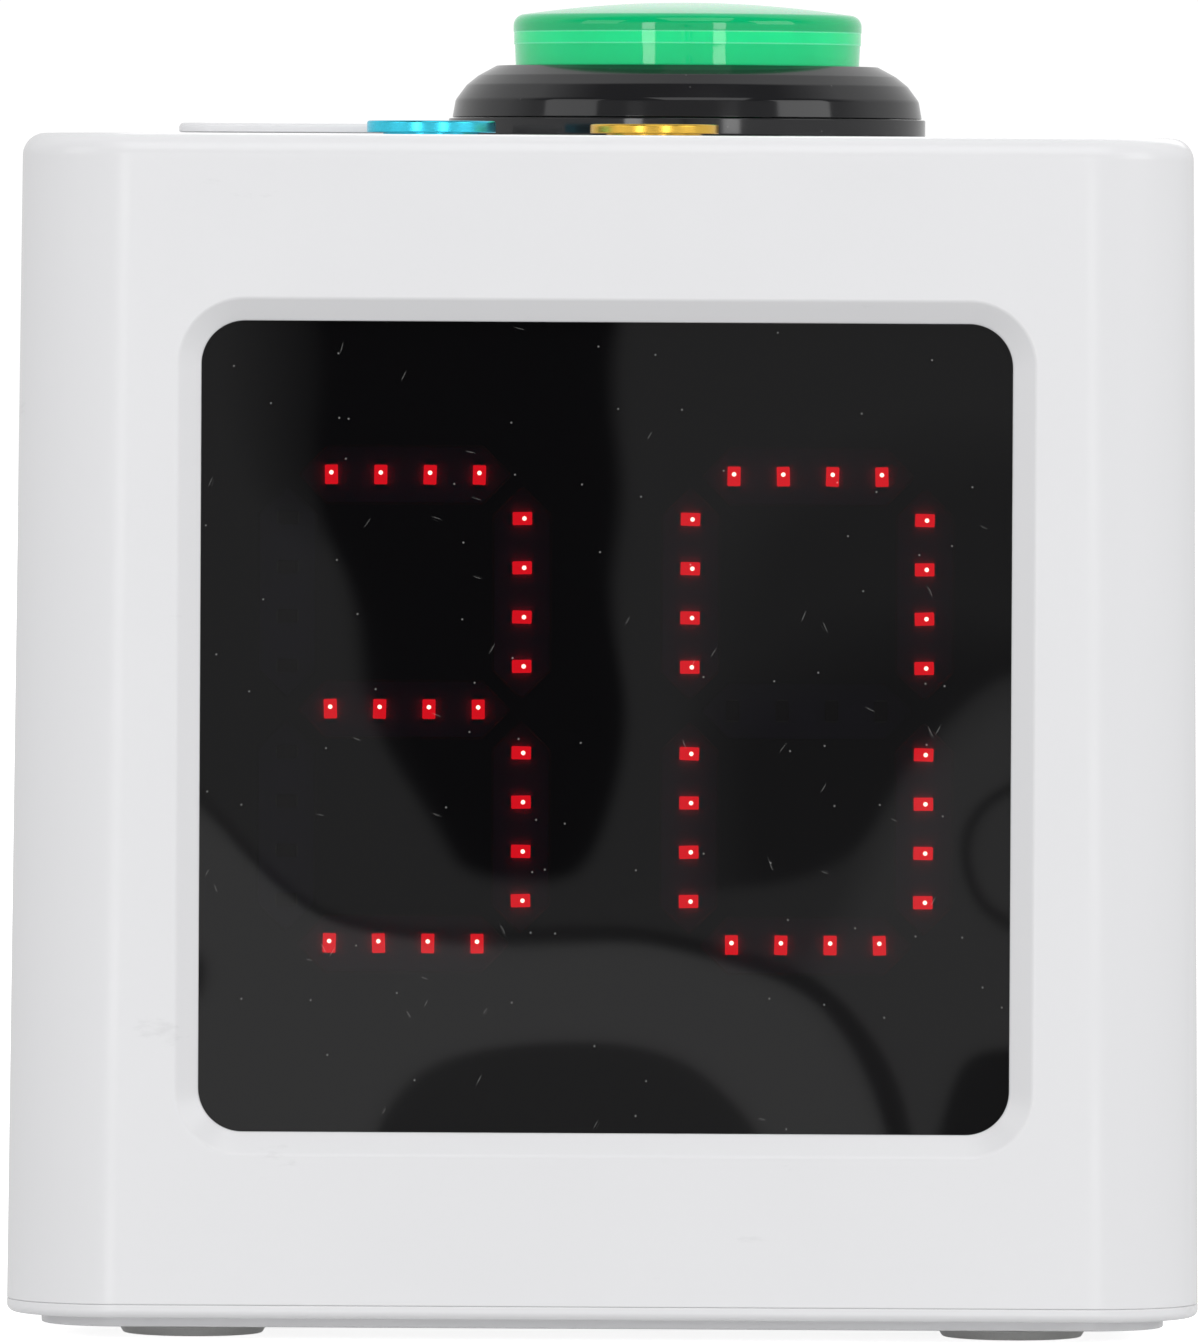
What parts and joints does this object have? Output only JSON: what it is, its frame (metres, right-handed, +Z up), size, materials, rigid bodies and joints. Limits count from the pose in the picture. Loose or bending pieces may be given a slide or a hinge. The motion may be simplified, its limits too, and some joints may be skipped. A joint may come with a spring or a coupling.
{
  "type": "tabletop countdown timer",
  "caption": "Tapered white box timer with a smoked window over an LED digit display, a large lit dome button and two small metal buttons on top.",
  "frame": {"origin": "on the resting surface, under the middle of the base cover's outline", "axes": "+Z up, +X to the right of a person facing the window, -Y out of the window"},
  "size_m": [0.148, 0.1, 0.1662],
  "materials": {
    "white_abs": "moulded white ABS, satin gloss",
    "foot_rubber": "pale grey moulded rubber",
    "smoked_acrylic": "polished smoked acrylic sheet",
    "black_abs": "high-gloss moulded black ABS",
    "green_lens": "translucent green moulded lens",
    "milky_abs": "milky moulded ABS",
    "mask_black": "matt black moulded mask",
    "led_board": "black solder mask with soldered red LEDs",
    "board_green": "green solder mask",
    "steel": "zinc-plated or stainless steel",
    "brass": "turned brass",
    "blue_anodised": "turned and blue anodised",
    "gold_anodised": "turned and gold anodised",
    "dark_plastic": "moulded dark plastic",
    "battery_wrap": "heat-shrunk blue sleeve"
  },
  "bodies": {
    "housing": {"shell": "white_abs", "base_cover": "white_abs", "base_plate": "white_abs", "foot_front_left": "foot_rubber", "foot_front_right": "foot_rubber", "foot_rear_left": "foot_rubber", "foot_rear_right": "foot_rubber", "base_screw_front_left": "steel", "base_screw_front_right": "steel", "base_screw_rear_left": "steel", "base_screw_rear_right": "steel", "window_pane": "smoked_acrylic", "segment_mask": "mask_black", "led_board": "led_board", "display_screw_lower_left": "steel", "display_screw_lower_right": "steel", "display_screw_upper_left": "steel", "display_screw_upper_right": "steel", "controller_board": "board_green", "standoff_lower_left": "brass", "standoff_lower_right": "brass", "standoff_upper_left": "brass", "standoff_upper_right": "brass", "board_screw_lower_left": "steel", "board_screw_lower_right": "steel", "board_screw_upper_left": "steel", "board_screw_upper_right": "steel", "link_header": "dark_plastic", "buzzer": "dark_plastic", "dome_barrel": "black_abs", "dome_bezel": "black_abs", "dome_nut": "dark_plastic", "dome_spring": "steel", "lamp_holder": "dark_plastic", "microswitch": "dark_plastic", "dome_lamp": "milky_abs", "blue_button_body": "blue_anodised", "blue_button_spring": "steel", "blue_button_nut": "steel", "blue_button_terminals": "dark_plastic", "gold_button_body": "gold_anodised", "gold_button_spring": "steel", "gold_button_nut": "steel", "gold_button_terminals": "dark_plastic", "label_pad": "white_abs", "power_switch": "dark_plastic", "charging_socket": "steel", "charge_board": "board_green", "battery_tray": "dark_plastic", "battery_pack": "battery_wrap"},
    "dome_button": {"dome_lens": "green_lens", "dome_plunger": "milky_abs"},
    "blue_button": {"blue_button_cap": "blue_anodised"},
    "gold_button": {"gold_button_cap": "gold_anodised"},
    "power_slide": {"power_slider": "dark_plastic"}
  },
  "joints": [
    {"name": "dome_press", "type": "slide", "parent": "housing", "child": "dome_button", "axis": [0, 0, 1], "range_m": [-0.0035, 0], "stiffness_N_per_m": 300, "springref_m": 0.002, "deforming": ["dome_spring"]},
    {"name": "blue_press", "type": "slide", "parent": "housing", "child": "blue_button", "axis": [0, 0, 1], "range_m": [-0.0008, 0], "stiffness_N_per_m": 400, "springref_m": 0.001, "deforming": ["blue_button_spring"]},
    {"name": "gold_press", "type": "slide", "parent": "housing", "child": "gold_button", "axis": [0, 0, 1], "range_m": [-0.0008, 0], "stiffness_N_per_m": 400, "springref_m": 0.001, "deforming": ["gold_button_spring"]},
    {"name": "power_switch_slide", "type": "slide", "parent": "housing", "child": "power_slide", "axis": [1, 0, 0], "range_m": [0, 0.0045]}
  ]
}
